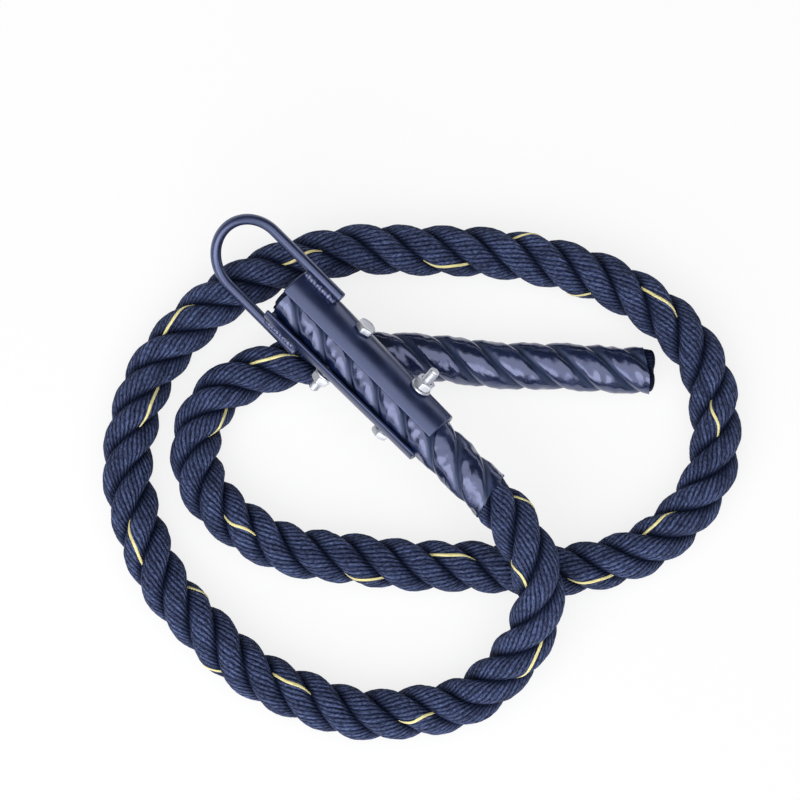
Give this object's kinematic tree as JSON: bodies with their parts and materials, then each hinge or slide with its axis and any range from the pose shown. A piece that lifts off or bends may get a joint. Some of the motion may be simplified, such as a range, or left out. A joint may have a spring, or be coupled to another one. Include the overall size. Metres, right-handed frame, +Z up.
{
  "type": "climbing rope",
  "caption": "Thick three-strand gym climbing rope with a bolted steel hanging loop at one end and a film-sealed free end, lying in a loose double loop.",
  "frame": {"origin": "on the floor, under the middle of the whole lying rope's box", "axes": "+X along the hanger from its hanging loop towards the free rope, +Y along the longer side of the lying rope, +Z up"},
  "size_m": [0.4065, 0.4416, 0.0858],
  "materials": {
    "rope_fibre": "dark navy polyester yarn with a pale yellow tracer yarn",
    "shrink_film": "glossy blue-black heat-shrunk film",
    "black_paint": "semi-gloss blue-black paint on mild steel",
    "weld_paint": "thin blue-black paint over rippled weld beads",
    "bright_zinc": "bright zinc plate"
  },
  "bodies": {
    "rope_and_hanger": {"rope": "rope_fibre", "hanger_end_sleeve": "shrink_film", "tail_end_sleeve": "shrink_film", "right_clamp_half": "black_paint", "left_clamp_half": "black_paint", "hanging_loop": "black_paint", "right_leg_weld_front": "weld_paint", "right_leg_weld_back": "weld_paint", "left_leg_weld_front": "weld_paint", "left_leg_weld_back": "weld_paint", "upper_bolt": "bright_zinc", "lower_bolt": "bright_zinc"},
    "upper_washer_on_bolt": {"upper_washer": "bright_zinc"},
    "upper_nut_on_thread": {"upper_nut": "bright_zinc"},
    "lower_washer_on_bolt": {"lower_washer": "bright_zinc"},
    "lower_nut_on_thread": {"lower_nut": "bright_zinc"}
  },
  "joints": [
    {"name": "upper_nut_travel", "type": "slide", "parent": "rope_and_hanger", "child": "upper_washer_on_bolt", "axis": [0, -0.8192, -0.5736], "range_m": [0, 0.0087]},
    {"name": "upper_nut_turn", "type": "hinge", "parent": "upper_washer_on_bolt", "child": "upper_nut_on_thread", "pos_m": [-0.074, -0.00916, 0.04422], "axis": [0, -0.8192, -0.5736], "range_deg": [0, 2510]},
    {"name": "lower_nut_travel", "type": "slide", "parent": "rope_and_hanger", "child": "lower_washer_on_bolt", "axis": [0, 0.8192, 0.5736], "range_m": [0, 0.0104]},
    {"name": "lower_nut_turn", "type": "hinge", "parent": "lower_washer_on_bolt", "child": "lower_nut_on_thread", "pos_m": [-0.015, 0.03246, 0.07336], "axis": [0, 0.8192, 0.5736], "range_deg": [0, 3000]}
  ],
  "couplings": [
    {"joint": "upper_nut_turn", "follows": "upper_nut_travel", "rad_per_m": 5026.5},
    {"joint": "lower_nut_turn", "follows": "lower_nut_travel", "rad_per_m": 5026.5}
  ]
}
